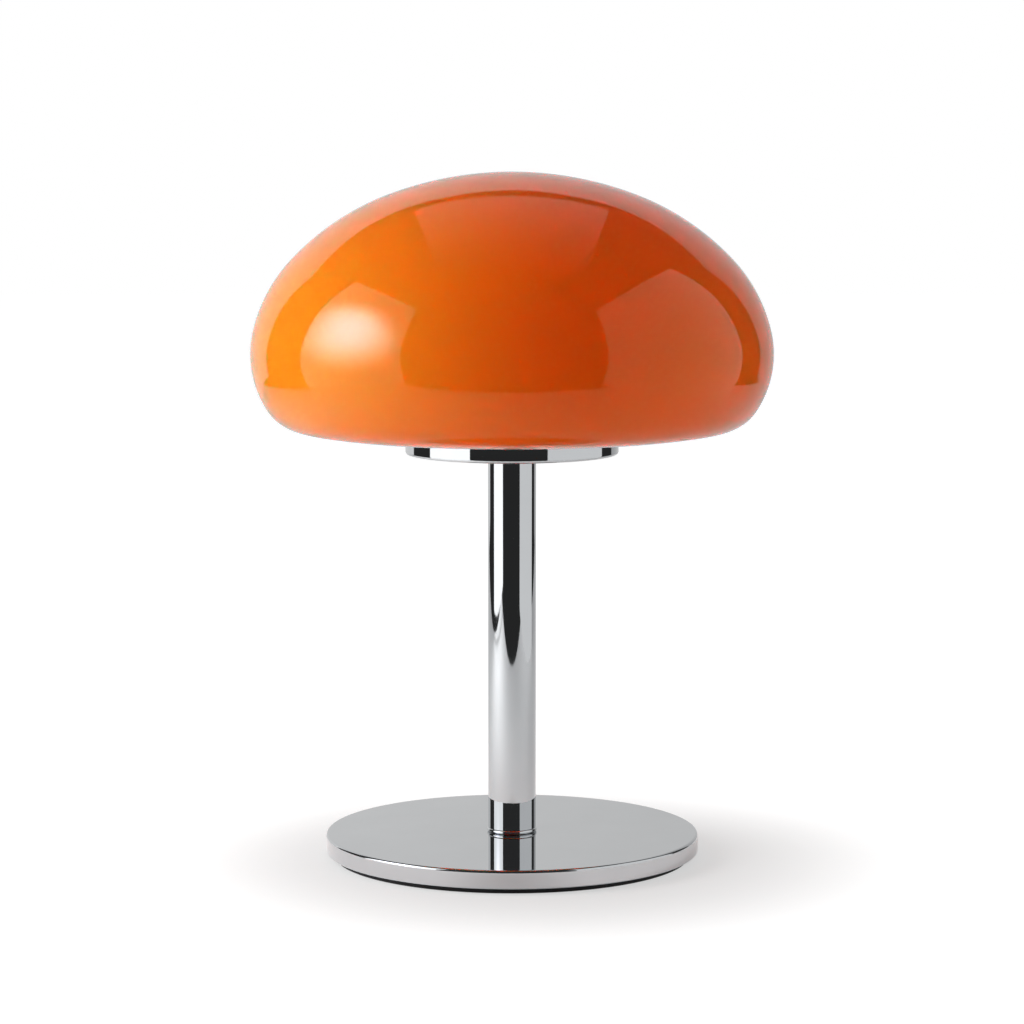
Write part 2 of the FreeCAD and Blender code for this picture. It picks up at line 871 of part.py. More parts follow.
def make_bulb_tip():
    turned_body(
        "bulb_tip",
        [
            ("0", BULB_SEAT),
            ("tip_radius - tip_height / 2", BULB_SEAT),
            ("tip_radius", f"{BULB_SEAT} + tip_height / 2"),
            ("tip_radius", INSULATOR_UNDER),
            ("0", INSULATOR_UNDER),
        ],
    )


def make_bulb_insulator():
    turned_body(
        "bulb_insulator",
        [
            ("0", INSULATOR_UNDER),
            ("tip_radius", INSULATOR_UNDER),
            ("insulator_radius", BULB_CAP_UNDER),
            ("0", BULB_CAP_UNDER),
        ],
    )


def make_bulb_cap():
    """Screw cap: a thin metal cup, tapered in at its foot and stepped in at its collar."""
    shoulder = f"({BULB_CAP_UNDER} + cap_shoulder)"
    thread_top = f"({BULB_CAP_UNDER} + cap_thread_top)"
    step_top = f"({thread_top} + cap_radius - cap_collar)"
    top = f"({BULB_CAP_UNDER} + cap_length)"
    turned_body(
        "bulb_cap",
        [
            ("insulator_radius - cap_metal", BULB_CAP_UNDER),
            ("insulator_radius + cap_metal", BULB_CAP_UNDER),
            ("cap_radius", shoulder),
            ("cap_radius", thread_top),
            ("cap_collar", step_top),
            ("cap_collar", top),
            ("cap_collar - cap_metal", top),
            ("cap_collar - cap_metal", step_top),
            ("cap_radius - cap_metal", thread_top),
            ("cap_radius - cap_metal", shoulder),
        ],
    )


def globe_side(inset):
    """One side of the globe: neck, fillet and ball, each tangent to the next, and the crown."""
    neck = f"(bulb_neck - {inset})"
    fillet = f"(bulb_neck_fillet + {inset})"
    ball = f"(globe_radius - {inset})"
    reach = "(globe_radius + bulb_neck_fillet)"
    drop = f"sqrt({reach}^2 - (bulb_neck + bulb_neck_fillet)^2)"
    meet_across = f"(bulb_neck + bulb_neck_fillet) * {ball} / {reach}"
    meet_up = f"{GLOBE_CENTRE} - {drop} * {ball} / {reach}"
    return [
        (neck, BULB_NECK_UNDER),
        (neck, f"{GLOBE_CENTRE} - {drop}", fillet, RIGHT),
        (meet_across, meet_up, ball, LEFT),
        (ball, GLOBE_CENTRE, ball, LEFT),
        ("0", f"{GLOBE_CENTRE} + {ball}"),
    ]


def reversed_side(side):
    """The same line walked the other way: each arc belongs to its other end and changes hands."""
    turned_round = []
    for corner, arc in zip(side[::-1], [*side[-2::-1], ()]):
        bend = (arc[2], -arc[3]) if len(arc) > 2 else ()
        turned_round.append((*corner[:2], *bend))
    return turned_round


def make_bulb_glass():
    turned_body("bulb_glass", globe_side("0") + reversed_side(globe_side("globe_wall")))


def make_bulb_mount():
    """Glass mount inside the globe: a flared foot and a post."""
    flare_top = f"({BULB_NECK_UNDER} + mount_flare)"
    top = f"{BULB_NECK_UNDER} + mount_height"
    turned_body(
        "bulb_mount",
        [
            ("0", BULB_NECK_UNDER),
            ("mount_foot", BULB_NECK_UNDER),
            ("mount_foot", f"{BULB_NECK_UNDER} + mount_foot_height", "mount_flare", RIGHT),
            ("mount_post", flare_top),
            ("mount_post", f"{top} - mount_post / 2"),
            ("mount_post / 2", top),
            ("0", top),
        ],
    )


def make_filaments():
    body = new_body("filaments")
    under = f"({BULB_SEAT} + filament_level)"
    rod = circles(body, "rod", [("filament_offset", "0", "filament_radius")], offset=under)
    repeat_round(body, pad(body, rod, "filament_length"), "filament_count")


def make_filament_wires():
    """Support wires from the mount to both ends of each filament."""
    body = new_body("filament_wires")
    under = f"({BULB_SEAT} + filament_level + filament_wire)"
    top = f"({BULB_SEAT} + filament_level + filament_length - filament_wire)"
    ends = [("0", under, "filament_wire"), ("0", top, "filament_wire")]
    wires = circles(body, "wires", ends, "YZ_Plane", "mount_post")
    length = "filament_offset - filament_radius - mount_post"
    repeat_round(body, pad(body, wires, length), "filament_count")


def make_driver_board():
    board = document.addObject("Part::Box", "driver_board")
    board.Label = "driver_board"
    bind(board, "Length", "board_width")
    bind(board, "Width", "board_wall")
    bind(board, "Height", "board_height")
    bind(board, "Placement.Base.x", "-board_width / 2")
    bind(board, "Placement.Base.y", "-board_wall / 2")
    bind(board, "Placement.Base.z", f"{BULB_SEAT} + board_level")
    sub_parts.append(board)


# Leads -----------------------------------------------------------------------------------------


def rounded_path(points, radii):
    """Straight runs through points, joined by tangent arcs of the given radii."""
    edges = []
    start = points[0]
    for before, corner, after, radius in zip(points, points[1:], points[2:], radii):
        back = (before - corner).normalize()
        ahead = (after - corner).normalize()
        half = back.getAngle(ahead) / 2
        setback = radius / math.tan(half)
        middle = corner + (back + ahead).normalize() * (radius / math.sin(half) - radius)
        arc = Part.Arc(corner + back * setback, middle, corner + ahead * setback)
        edges.append(Part.LineSegment(start, arc.StartPoint).toShape())
        edges.append(arc.toShape())
        start = arc.EndPoint
    edges.append(Part.LineSegment(start, points[-1]).toShape())
    return Part.Wire(edges)


def make_lead(name, side):
    """One insulated lead: along the slot in the weight, up through the plug, tube and nipple, and
    out to its terminal."""
    across = size("lead_offset") * side
    behind = size("wire_offset")
    block_under = size(f"{HOLDER_SPLIT} - terminal_height")
    nipple_top = size(f"{NIPPLE_UNDER} + nipple_length")
    plug_top = size(f"{BEAD_TOP} + foot_plug")
    terminal = size("terminal_offset") * side
    clear = 3 * size("lead_bend")
    points = [
        FreeCAD.Vector(across, size("lead_end"), size("bush_level")),
        FreeCAD.Vector(across, behind, size("bush_level")),
        FreeCAD.Vector(across, behind, plug_top + clear),
        FreeCAD.Vector(across, 0, size(TUBE_TOP) - size("head_plug") - clear),
        FreeCAD.Vector(across, 0, nipple_top + size("lead_radius")),
        FreeCAD.Vector(terminal, 0, block_under - size("lead_bend")),
        FreeCAD.Vector(terminal, 0, block_under + size("terminal_screw_level")),
    ]
    tight = size("lead_bend")
    slack = size("lead_slack")
    path = rounded_path(points, [tight, slack, slack, tight, tight])
    circle = Part.Circle(points[0], FreeCAD.Vector(0, 1, 0), size("lead_radius"))
    shell = Part.BRepOffsetAPI.MakePipeShell(path)
    shell.add(Part.Wire(circle.toShape()))
    shell.build()
    shell.makeSolid()
    lead = document.addObject("Part::Feature", name)
    lead.Label = name
    lead.Shape = shell.shape()
    lead.Placement = FreeCAD.Placement()
    sub_parts.append(lead)
    expected = math.pi * size("lead_radius") ** 2 * path.Length
    print(f"{name}: length {path.Length:.1f} mm, volume {lead.Shape.Volume / expected:.4f} of its tube")


def make_lead_splices():
    """Crimped sleeves in which the leads end, side by side in the slot."""
    body = new_body("lead_splices")
    places = [(f"{sign}lead_offset", "bush_level", "splice_radius") for sign in ("-", "")]
    sleeves = circles(body, "sleeves", places, "XZ_Plane", "-lead_end")
    pad(body, sleeves, "splice_length", reverse=True)


make_foot_pad()
make_base_weight()
make_base_cover()
make_cord_bush()
make_base_screw()
make_stem_foot()
make_stem_tube()
make_stem_head()
make_nipple()
make_gallery()
make_gallery_washer()
make_gallery_nut()
make_shade_gasket()
make_shade_clips()
make_glass_shade()
make_holder_cap()
make_holder_shell()
make_contact_block()
make_screw_shell()
make_centre_contact()
make_terminal_blocks()
make_terminal_screws()
make_bulb_tip()
make_bulb_insulator()
make_bulb_cap()
make_bulb_glass()
make_bulb_mount()
make_filaments()
make_filament_wires()
make_driver_board()
make_lead("live_lead", 1)
make_lead("neutral_lead", -1)
make_lead_splices()
document.recompute()

for item in document.Objects:
    if "Invalid" in item.State or "Error" in item.State:
        raise RuntimeError(f"{item.Name} failed: {item.State}")
for item in sub_parts:
    if item.Shape.isNull() or not item.Shape.isValid():
        raise RuntimeError(f"{item.Label} has no valid shape")

os.makedirs("parts", exist_ok=True)
for item in sub_parts:
    item.Shape.exportStep(os.path.join("parts", item.Label + ".step"))
    print(f"{item.Label}: solids {len(item.Shape.Solids)}, volume {item.Shape.Volume:.0f}")
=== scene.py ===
import json
import math

import bmesh
import bpy
from mathutils import Matrix, Vector


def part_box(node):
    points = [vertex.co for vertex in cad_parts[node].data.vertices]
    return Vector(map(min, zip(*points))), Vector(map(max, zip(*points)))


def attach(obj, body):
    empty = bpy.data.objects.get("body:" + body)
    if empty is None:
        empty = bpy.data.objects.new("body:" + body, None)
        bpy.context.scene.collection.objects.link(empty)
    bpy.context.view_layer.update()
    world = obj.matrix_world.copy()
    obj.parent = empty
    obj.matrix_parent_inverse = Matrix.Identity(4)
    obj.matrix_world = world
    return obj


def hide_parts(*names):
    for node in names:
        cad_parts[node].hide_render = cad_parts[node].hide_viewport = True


# Mushroom table lamp in a small photo studio: a big softbox on each side, a panel overhead, a white
# backdrop behind and a white table that ends short of the camera. Metres, +Z up, +Y to the rear.
# Four CAD nodes are drawn again as finer lathed meshes, the others are shown as they are.

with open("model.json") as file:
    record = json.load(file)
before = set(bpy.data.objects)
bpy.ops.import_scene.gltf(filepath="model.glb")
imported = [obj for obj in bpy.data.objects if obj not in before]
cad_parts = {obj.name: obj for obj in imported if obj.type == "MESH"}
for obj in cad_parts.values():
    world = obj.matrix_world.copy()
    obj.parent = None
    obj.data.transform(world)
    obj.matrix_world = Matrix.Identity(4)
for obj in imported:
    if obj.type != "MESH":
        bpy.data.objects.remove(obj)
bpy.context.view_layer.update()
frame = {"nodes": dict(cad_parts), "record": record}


# Node helpers ----------------------------------------------------------------------------------

# Nearly all of a noise lies between these
NOISE_LOW = 0.3
NOISE_HIGH = 0.7

# Sockets of a Mix node that are for colours
MIX_FACTOR = 0
MIX_FIRST = 6
MIX_SECOND = 7
MIX_RESULT = 2


class Graph:
    """A node tree with short ways to add a node, join two sockets and do sums."""

    def __init__(self, tree):
        self.tree = tree
        tree.nodes.clear()

    def add(self, kind, inputs=None, **settings):
        node = self.tree.nodes.new(kind)
        for name, value in settings.items():
            setattr(node, name, value)
        for name, value in (inputs or {}).items():
            self.feed(node.inputs[name], value)
        return node

    def feed(self, socket, value):
        """Join a socket to another one, or give it a plain value."""
        if isinstance(value, bpy.types.NodeSocket):
            self.tree.links.new(value, socket)
        else:
            socket.default_value = value

    def sum(self, operation, *values):
        node = self.add("ShaderNodeMath", operation=operation)
        for socket, value in zip(node.inputs, values):
            self.feed(socket, value)
        return node.outputs[0]

    def spread(self, value, low, high, to_low, to_high, smooth=False):
        """Map a value from one range to another."""
        node = self.add("ShaderNodeMapRange")
        node.interpolation_type = "SMOOTHSTEP" if smooth else "LINEAR"
        names = ("Value", "From Min", "From Max", "To Min", "To Max")
        for name, number in zip(names, (value, low, high, to_low, to_high)):
            self.feed(node.inputs[name], number)
        return node.outputs["Result"]

    def vary(self, noise, to_low, to_high):
        """Map the usual range of a noise to another range."""
        return self.spread(noise, NOISE_LOW, NOISE_HIGH, to_low, to_high)

    def choose(self, switch, off, on):
        """Pick one of two numbers by a switch that is 0 or 1."""
        return self.spread(switch, 0.0, 1.0, off, on)

    def noise(self, scale, detail=3.0, stretch=(1, 1, 1)):
        """Noise over the piece's own coordinates, in repeats per metre."""
        place = self.add("ShaderNodeTexCoord").outputs["Object"]
        mapping = self.add("ShaderNodeMapping", {"Vector": place, "Scale": stretch})
        inputs = {"Vector": mapping.outputs["Vector"], "Scale": scale, "Detail": detail}
        return self.add("ShaderNodeTexNoise", inputs).outputs["Fac"]

    def blend(self, factor, first, second):
        """Mix two colours."""
        node = self.add("ShaderNodeMix", data_type="RGBA")
        for socket, value in ((MIX_FACTOR, factor), (MIX_FIRST, first), (MIX_SECOND, second)):
            self.feed(node.inputs[socket], value)
        return node.outputs[MIX_RESULT]

    def between(self, factor, colours):
        """Mix two plain colours."""
        first, second = colours
        return self.blend(factor, rgb(*first), rgb(*second))

    def bump(self, height, strength, distance):
        inputs = {"Height": height, "Strength": strength, "Distance": distance}
        return self.add("ShaderNodeBump", inputs).outputs["Normal"]

    def position(self):
        return self.add("ShaderNodeNewGeometry").outputs["Position"]

    def split(self, place):
        """The X, Y and Z of a place, by name."""
        return self.add("ShaderNodeSeparateXYZ", {"Vector": place}).outputs

    def distance(self, place, heart):
        """How far a place is from a fixed point."""
        inputs = {0: place, 1: heart}
        return self.add("ShaderNodeVectorMath", inputs, operation="DISTANCE").outputs["Value"]


def rgb(red, green, blue):
    return (red, green, blue, 1.0)


def new_material(name):
    """An empty node material, with its graph and its output node."""
    material = bpy.data.materials.new(name)
    material.use_nodes = True
    graph = Graph(material.node_tree)
    return material, graph, graph.add("ShaderNodeOutputMaterial")


def surface(name, **inputs):
    """A Principled material. Inputs are sockets by name, with spaces as underscores."""
    material, graph, output = new_material(name)
    shader = graph.add("ShaderNodeBsdfPrincipled")
    graph.feed(output.inputs["Surface"], shader.outputs["BSDF"])
    for socket, value in inputs.items():
        graph.feed(shader.inputs[socket.replace("_", " ")], value)
    return material, graph, shader


def feed_surface(graph, shader, colour, roughness, normal=None):
    """Feed the three sockets that vary over a surface."""
    graph.feed(shader.inputs["Base Color"], colour)
    graph.feed(shader.inputs["Roughness"], roughness)
    if normal is not None:
        graph.feed(shader.inputs["Normal"], normal)


# Materials -------------------------------------------------------------------------------------

# Orange coat of the shade, painted paler towards the left where the main light falls: a painted
# light.
GLASS_TINT = (1.0, 0.9, 0.47)
GLASS_SCATTER = (1.0, 0.01, 0.005)
GLASS_SCATTER_SCALE = 0.4
GLASS_DEEP = ((0.93, 0.115, 0.004), (0.96, 0.13, 0.005))
GLASS_PAINTED_LIT = ((0.93, 0.185, 0.006), (0.96, 0.21, 0.008))
GLASS_ROUGH = (0.015, 0.03)
STREAK_STRETCH = (1, 1, 0.25)
STREAK_SHARE = 0.25
STREAK_LOW = 0.35
STREAK_HIGH = 0.9
PAINTED_LIT_FULL = -0.12
PAINTED_LIT_GONE = 0.06
PAINTED_LIT_WOBBLE = 0.02

OPAL_SCATTER = (0.01, 0.009, 0.008)
OPAL_COLOURS = ((0.82, 0.80, 0.76), (0.9, 0.88, 0.84))
OPAL_ROUGH = (0.12, 0.2)

CHROME_COLOURS = ((0.55, 0.565, 0.58), (0.575, 0.59, 0.605))
CHROME_ROUGH = (0.015, 0.04)

CLEAR_COLOURS = ((0.97, 0.975, 0.975), (0.99, 0.992, 0.992))
CLEAR_ROUGH = (0.0, 0.01)

MARKS_STRETCH = (1, 1, 6)
METAL_ROUGHER = 1.6
PLASTIC_ROUGHER = 0.12


def make_orange_glass():
    """Gloss cased glass: a deep orange coat over white, so light spreads red inside it."""
    material, graph, shader = surface(
        "orange_glass",
        IOR=1.45,
        Specular_Tint=rgb(*GLASS_TINT),
        Subsurface_Weight=1.0,
        Subsurface_Radius=GLASS_SCATTER,
        Subsurface_Scale=GLASS_SCATTER_SCALE,
    )
    shader.subsurface_method = "BURLEY"
    cloud = graph.noise(scale=9.0, detail=2.0)
    streak = graph.noise(scale=30.0, detail=4.0, stretch=STREAK_STRETCH)
    mixed = graph.sum("MULTIPLY_ADD", streak, STREAK_SHARE, cloud)
    factor = graph.spread(mixed, STREAK_LOW, STREAK_HIGH, 0.0, 1.0)
    deep = graph.between(factor, GLASS_DEEP)
    painted_lit_colour = graph.between(factor, GLASS_PAINTED_LIT)
    # Painted light: the colour turns paler towards the left side, which the main light lights most.
    across = graph.split(graph.add("ShaderNodeTexCoord").outputs["Object"])["X"]
    painted_lit_place = graph.sum("MULTIPLY_ADD", cloud, PAINTED_LIT_WOBBLE, across)
    painted_lit_share = graph.spread(painted_lit_place, PAINTED_LIT_FULL, PAINTED_LIT_GONE, 1.0, 0.0, smooth=True)
    colour = graph.blend(painted_lit_share, deep, painted_lit_colour)
    normal = graph.bump(cloud, strength=0.15, distance=0.0006)
    feed_surface(graph, shader, colour, graph.vary(cloud, *GLASS_ROUGH), normal)
    return material


def make_opal_glass():
    """The white layer inside the shade."""
    material, graph, shader = surface(
        "opal_glass", IOR=1.5, Subsurface_Weight=0.4, Subsurface_Radius=OPAL_SCATTER
    )
    cloud = graph.noise(scale=14.0)
    colour = graph.between(graph.vary(cloud, 0.0, 1.0), OPAL_COLOURS)
    feed_surface(graph, shader, colour, graph.vary(cloud, *OPAL_ROUGH))
    return material


def make_chrome():
    """Mirror chrome plate, with a faint unevenness in its polish."""
    material, graph, shader = surface("chrome", Metallic=1.0)
    haze = graph.noise(scale=35.0, detail=5.0)
    grain = graph.noise(scale=900.0, detail=2.0)
    colour = graph.between(graph.vary(haze, 0.0, 1.0), CHROME_COLOURS)
    normal = graph.bump(grain, strength=0.02, distance=0.00002)
    feed_surface(graph, shader, colour, graph.vary(haze, *CHROME_ROUGH), normal)
    return material


def make_clear_glass():
    """Clear glass of the bulb, with a faint ripple."""
    material, graph, shader = surface("clear_glass", IOR=1.45, Transmission_Weight=1.0)
    ripple = graph.noise(scale=60.0, detail=2.0)
    colour = graph.between(graph.vary(ripple, 0.0, 1.0), CLEAR_COLOURS)
    normal = graph.bump(ripple, strength=0.05, distance=0.0002)
    feed_surface(graph, shader, colour, graph.vary(ripple, *CLEAR_ROUGH), normal)
    return material


def make_metal(name, dark, light, rough, scale=260.0):
    """Plain worked metal: fine turning marks that vary its colour, gloss and relief."""
    material, graph, shader = surface(name, Metallic=1.0)
    marks = graph.noise(scale=scale, detail=4.0, stretch=MARKS_STRETCH)
    colour = graph.between(graph.vary(marks, 0.0, 1.0), (dark, light))
    roughness = graph.vary(marks, rough, rough * METAL_ROUGHER)
    normal = graph.bump(marks, strength=0.15, distance=0.0001)
    feed_surface(graph, shader, colour, roughness, normal)
    return material


def make_plastic(name, dark, light, rough, scale=500.0, relief=0.1):
    """Moulded plastic, rubber or ceramic with a fine grain."""
    material, graph, shader = surface(name, IOR=1.46)
    grain = graph.noise(scale=scale, detail=4.0)
    colour = graph.between(graph.vary(grain, 0.0, 1.0), (dark, light))
    roughness = graph.vary(grain, rough, rough + PLASTIC_ROUGHER)
    normal = graph.bump(grain, strength=relief, distance=0.0002)
    feed_surface(graph, shader, colour, roughness, normal)
    return material


# Dark and light colour, roughness, and where they aren't the usual ones also the repeats per metre
# of the texture and, for plastics, the strength of its relief
METALS = {
    "weight_steel": ((0.1, 0.1, 0.105), (0.2, 0.2, 0.205), 0.4, 120.0),
    "plated_steel": ((0.5, 0.51, 0.52), (0.66, 0.67, 0.68), 0.22),
    "brass": ((0.64, 0.46, 0.17), (0.8, 0.62, 0.28), 0.2),
    "solder": ((0.4, 0.4, 0.4), (0.6, 0.6, 0.6), 0.35, 400.0),
    "cap_metal": ((0.62, 0.62, 0.6), (0.76, 0.76, 0.74), 0.18),
    "filament_wire": ((0.42, 0.42, 0.43), (0.55, 0.55, 0.56), 0.3),
}
PLASTICS = {
    "pad_foam": ((0.008, 0.008, 0.009), (0.02, 0.02, 0.021), 0.75, 900.0, 0.5),
    "bush_plastic": ((0.015, 0.015, 0.016), (0.03, 0.03, 0.031), 0.4),
    "silicone": ((0.6, 0.6, 0.58), (0.72, 0.72, 0.7), 0.5),
    "holder_plastic": ((0.74, 0.72, 0.68), (0.82, 0.8, 0.76), 0.3),
    "contact_ceramic": ((0.7, 0.68, 0.62), (0.8, 0.78, 0.73), 0.6),
    "cap_insulation": ((0.006, 0.006, 0.008), (0.014, 0.014, 0.017), 0.15),
    "filament": ((0.78, 0.5, 0.06), (0.9, 0.62, 0.1), 0.6, 700.0, 0.3),
    "circuit_board": ((0.02, 0.16, 0.06), (0.03, 0.2, 0.08), 0.35),
    "brown_insulation": ((0.09, 0.035, 0.015), (0.12, 0.05, 0.02), 0.4),
    "blue_insulation": ((0.012, 0.06, 0.3), (0.02, 0.08, 0.36), 0.4),
    "splice_insulation": ((0.5, 0.02, 0.015), (0.6, 0.03, 0.02), 0.35),
}

MATERIALS = {
    "orange_glass": make_orange_glass(),
    "chrome": make_chrome(),
    "clear_glass": make_clear_glass(),
}
MATERIALS.update({name: make_metal(name, *look) for name, look in METALS.items()})
MATERIALS.update({name: make_plastic(name, *look) for name, look in PLASTICS.items()})
OPAL = make_opal_glass()

for entry in frame["record"]["subparts"]:
    node = frame["nodes"][entry["node"]]
    node.data.materials.clear()
    node.data.materials.append(MATERIALS[entry["material_slot"]])


# Mesh helpers ----------------------------------------------------------------------------------

SEGMENTS = 256
COVER_SEGMENTS = 512
DRILL_SEGMENTS = 64
CORNER_STEPS = 12
BEAD_STEPS = 24
SHARP_ANGLE = 30
ON_AXIS = 1e-9

# From the end of a round corner to the support point on the flat beside it
SUPPORT = 0.0003


def new_piece(name, data):
    """An object in the scene that shows a mesh, or is a camera."""
    piece = bpy.data.objects.new(name, data)
    bpy.context.scene.collection.objects.link(piece)
    return piece


def mesh_data(name, mesh):
    """Store a bmesh as mesh data and free it."""
    data = bpy.data.meshes.new(name)
    mesh.to_mesh(data)
    mesh.free()
    return data


def on_circle(radius, angle):
    return radius * math.cos(angle), radius * math.sin(angle)


def lathe(name, profile, segments=SEGMENTS, closed=True):
    """Turn a profile of (radius, height) points round the vertical axis into a mesh.

    A closed profile goes round a section of the wall, back to its first point. The other kind starts
    and ends on the axis.
    """
    mesh = bmesh.new()
    angles = [2 * math.pi * step / segments for step in range(segments)]
    rings = []
    for radius, height in profile:
        if radius < ON_AXIS:
            rings.append([mesh.verts.new((0, 0, height))] * segments)
        else:
            rings.append([mesh.verts.new((*on_circle(radius, angle), height)) for angle in angles])
    pairs = list(zip(rings, rings[1:]))
    if closed:
        pairs.append((rings[-1], rings[0]))
    for lower, upper in pairs:
        for step in range(segments):
            following = (step + 1) % segments
            corners = (lower[step], lower[following], upper[following], upper[step])
            unique = list(dict.fromkeys(corners))
            if len(unique) > 2:
                mesh.faces.new(unique)
    bmesh.ops.recalc_face_normals(mesh, faces=mesh.faces)
    data = mesh_data(name, mesh)
    data.shade_smooth()
    data.set_sharp_from_angle(angle=math.radians(SHARP_ANGLE))
    return new_piece(name, data)


def corner(across, height, radius, start, end, steps=CORNER_STEPS):
    """Points round a corner, from one angle to another, with a point close by on each flat."""
    first, last = math.radians(start), math.radians(end)
    support = math.copysign(SUPPORT, last - first)

    def point(angle, beyond=0.0):
        right, up = on_circle(radius, angle)
        return across + right - beyond * math.sin(angle), height + up + beyond * math.cos(angle)

    round_points = [point(first + (last - first) * step / steps) for step in range(steps + 1)]
    return [point(first, -support)] + round_points + [point(last, support)]


def drill(piece, radius, start, end):
    """Cut a round hole through a piece, from one point to another."""
    start, end = Vector(start), Vector(end)
    turn = (end - start).to_track_quat("Z", "Y").to_matrix().to_4x4()
    mesh = bmesh.new()
    bmesh.ops.create_cone(
        mesh,
        cap_ends=True,
        segments=DRILL_SEGMENTS,
        radius1=radius,
        radius2=radius,
        depth=(end - start).length,
        matrix=Matrix.Translation((start + end) / 2) @ turn,
    )
    bit = new_piece("drill", mesh_data("drill", mesh))
    cut = piece.modifiers.new("hole", "BOOLEAN")
    cut.operation = "DIFFERENCE"
    cut.solver = "EXACT"
    cut.object = bit
    drilled = piece.evaluated_get(bpy.context.evaluated_depsgraph_get())
    result = bpy.data.meshes.new_from_object(drilled)
    piece.modifiers.clear()
    piece.data = result
    result.set_sharp_from_angle(angle=math.radians(SHARP_ANGLE))
    bpy.data.objects.remove(bit)


def dress(piece, body, slot, *nodes):
    """Give a piece its material, its body and the nodes that it stands for."""
    piece.data.materials.append(MATERIALS[slot])
    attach(piece, body)
    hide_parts(*nodes)


# Glass shade -----------------------------------------------------------------------------------

# The glass from the crown down: arcs of radius and degrees, then the underside, whose arc meets the
# neck through a fillet. Wide arcs get twice the steps.
GLASS_WALL = 0.003
GLASS_ARCS = ((0.1804, 20.65), (0.1346, 25.7), (0.0808, 29.9), (0.0525, 46.95), (0.023, 46.6))
UNDERSIDE_RADIUS = 0.2105
NECK_RADIUS = 0.0518
NECK_FILLET = 0.003
RIM_ROUND = 0.0008
RIM_STEPS = 4
ARC_STEP = 2.0
WIDE_ARC = 0.1

# To tell the faces inside from those outside
CROWN_REACH = 0.04
FACES_DOWN = -0.5
OPAL_SLOT = 1


def glass_side(inset, top, rim):
    """Points down one side of the glass, from the crown to the neck, inwards by an inset."""
    spot = Vector((0.0, top - inset))
    heading = 0.0
    points = [tuple(spot)]

    def add_arc(radius, degrees, bend):
        nonlocal spot, heading
        start = math.radians(heading)
        centre = spot + Vector((math.sin(start), -math.cos(start))) * radius * bend
        count = math.ceil(degrees / ARC_STEP)
        if radius > WIDE_ARC:
            count *= 2
        for step in range(1, count + 1):
            turn = math.radians(heading - degrees * bend * step / count)
            spot = centre - Vector((math.sin(turn), -math.cos(turn))) * radius * bend
            points.append(tuple(spot))
        heading -= degrees * bend

    for radius, degrees in GLASS_ARCS:
        add_arc(radius - inset, degrees, 1)
    under = UNDERSIDE_RADIUS - inset
    fillet = NECK_FILLET + inset
    neck = NECK_RADIUS - inset
    lowest = spot.x + under * math.sin(math.radians(heading))
    climb = math.degrees(math.asin((lowest - neck - fillet) / (under + fillet)))
    add_arc(under, 180 + heading + climb, 1)
    add_arc(fillet, 90 + climb, -1)
    points.append((neck, rim + RIM_ROUND))
    return points


def make_shade():
    """The glass in one piece, orange outside and opal inside."""
    low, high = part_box("glass_shade")
    outer = glass_side(0.0, high.z, low.z)
    inner = glass_side(GLASS_WALL, high.z, low.z)
    rim = []
    for centre, start in ((NECK_RADIUS - RIM_ROUND, 0), (NECK_RADIUS - GLASS_WALL + RIM_ROUND, 90)):
        for step in range(1, RIM_STEPS + 1):
            right, down = on_circle(RIM_ROUND, math.radians(start + 90 * step / RIM_STEPS))
            rim.append((centre + right, low.z + RIM_ROUND - down))
    shade = lathe("shade_glass", outer + rim[:-1] + inner[::-1], closed=False)
    dress(shade, "shade", "orange_glass", "glass_shade")
    shade.data.materials.append(OPAL)
    middle = (high.z + low.z) / 2
    # Faces inside look towards the axis. So does the outer underside, which looks down more, and the
    # inside of the crown looks almost straight down.
    for face in shade.data.polygons:
        inwards = face.normal.dot(Vector((face.center.x, face.center.y, 0.0))) < 0
        across = math.hypot(face.center.x, face.center.y)
        crown_inside = across < CROWN_REACH and face.normal.z < 0
        outer_under = face.center.z < middle and face.normal.z < FACES_DOWN
        if crown_inside or (inwards and not outer_under):
            face.material_index = OPAL_SLOT


make_shade()


# Chromed pieces --------------------------------------------------------------------------------

# Holes are given by their radius. The one for the leads lies behind the axis.
WIRE_OFFSET = 0.007
COVER_WALL = 0.0015
COVER_ROUND = 0.0015
COVER_BEVEL = 0.0005
COVER_HOLE = 0.00275
COVER_WIRE_HOLE = 0.003
BUSH_HOLE = 0.0033

GALLERY_WALL = 0.0015
GALLERY_ROUND = 0.0015
GALLERY_HOLE = 0.00525

BEAD_ROUND = 0.0011
PLUG_RADIUS = 0.01095
PLUG_EDGE = 0.0006
FOOT_HOLE = 0.0025
FOOT_WIRE_HOLE = 0.0029


def drill_down(piece, radius, top, bottom, margin):
    """Drill the hole for the leads, with a margin at both ends."""
    drill(piece, radius, (0, WIRE_OFFSET, bottom - margin), (0, WIRE_OFFSET, top + margin))


def make_base_cover():
    """Round shell with a soft top edge and a small bevel at its foot."""
    low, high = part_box("base_cover")
    radius, under = high.x, high.z - COVER_WALL
    profile = corner(radius - COVER_ROUND, high.z - COVER_ROUND, COVER_ROUND, 90, 0)
    profile += [
        (radius, low.z + COVER_BEVEL),
        (radius - COVER_BEVEL, low.z),
        (radius - COVER_WALL, low.z),
        (radius - COVER_WALL, under),
        (COVER_HOLE, under),
        (COVER_HOLE, high.z),
    ]
    cover = lathe("cover_shell", profile, segments=COVER_SEGMENTS)
    drill_down(cover, COVER_WIRE_HOLE, high.z, under, COVER_WALL)
    bush_low, bush_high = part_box("cord_bush")
    level = (bush_low.z + bush_high.z) / 2
    drill(cover, BUSH_HOLE, (0, radius - 2 * COVER_WALL, level), (0, radius + COVER_WALL, level))
    dress(cover, "lamp", "chrome", "base_cover")


